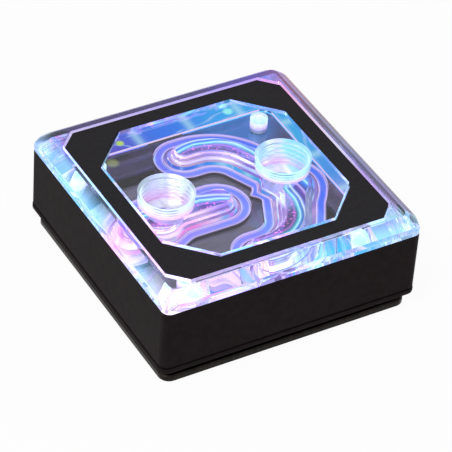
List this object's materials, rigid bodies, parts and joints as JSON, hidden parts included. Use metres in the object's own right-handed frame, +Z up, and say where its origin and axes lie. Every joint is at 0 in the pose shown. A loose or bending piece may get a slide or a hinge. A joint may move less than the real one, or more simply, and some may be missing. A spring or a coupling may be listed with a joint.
{
  "type": "cpu water block",
  "caption": "Square liquid-cooling block: finned metal cold plate, clear milled top with two threaded ports, black octagonal frame and black skirt.",
  "frame": {"origin": "centre of the cold plate's underside", "axes": "+Z up through the clear top, +X towards the outlet port, +Y towards the wall with the light's socket"},
  "size_m": [0.0656, 0.0656, 0.0259],
  "materials": {
    "plated_copper": "satin dark plating",
    "nickel": "bright plated",
    "seal_rubber": "matte",
    "clear_acrylic": "clear polished",
    "frame_black": "satin black",
    "skirt_black": "matte black",
    "board": "matte",
    "led": "clear",
    "socket_black": "moulded",
    "pin_gold": "plated",
    "screw_steel": "blackened"
  },
  "bodies": {
    "root": {"cold_plate": "plated_copper", "jet_plate": "nickel", "inlet_oring": "seal_rubber", "outlet_oring": "seal_rubber", "plate_oring": "seal_rubber", "acrylic_top": "clear_acrylic", "trim_frame": "frame_black", "skirt": "skirt_black", "foot_ring": "skirt_black", "led_board": "board", "led_01": "led", "led_02": "led", "led_03": "led", "led_04": "led", "led_05": "led", "led_06": "led", "led_07": "led", "led_08": "led", "led_09": "led", "led_10": "led", "led_11": "led", "led_12": "led", "led_13": "led", "led_14": "led", "led_15": "led", "led_16": "led", "led_socket": "socket_black", "socket_pin_1": "pin_gold", "socket_pin_2": "pin_gold", "socket_pin_3": "pin_gold", "cold_plate_screw_1": "screw_steel", "cold_plate_screw_2": "screw_steel", "cold_plate_screw_3": "screw_steel", "cold_plate_screw_4": "screw_steel", "skirt_screw_1": "screw_steel", "skirt_screw_2": "screw_steel", "skirt_screw_3": "screw_steel", "skirt_screw_4": "screw_steel"}
  },
  "joints": []
}
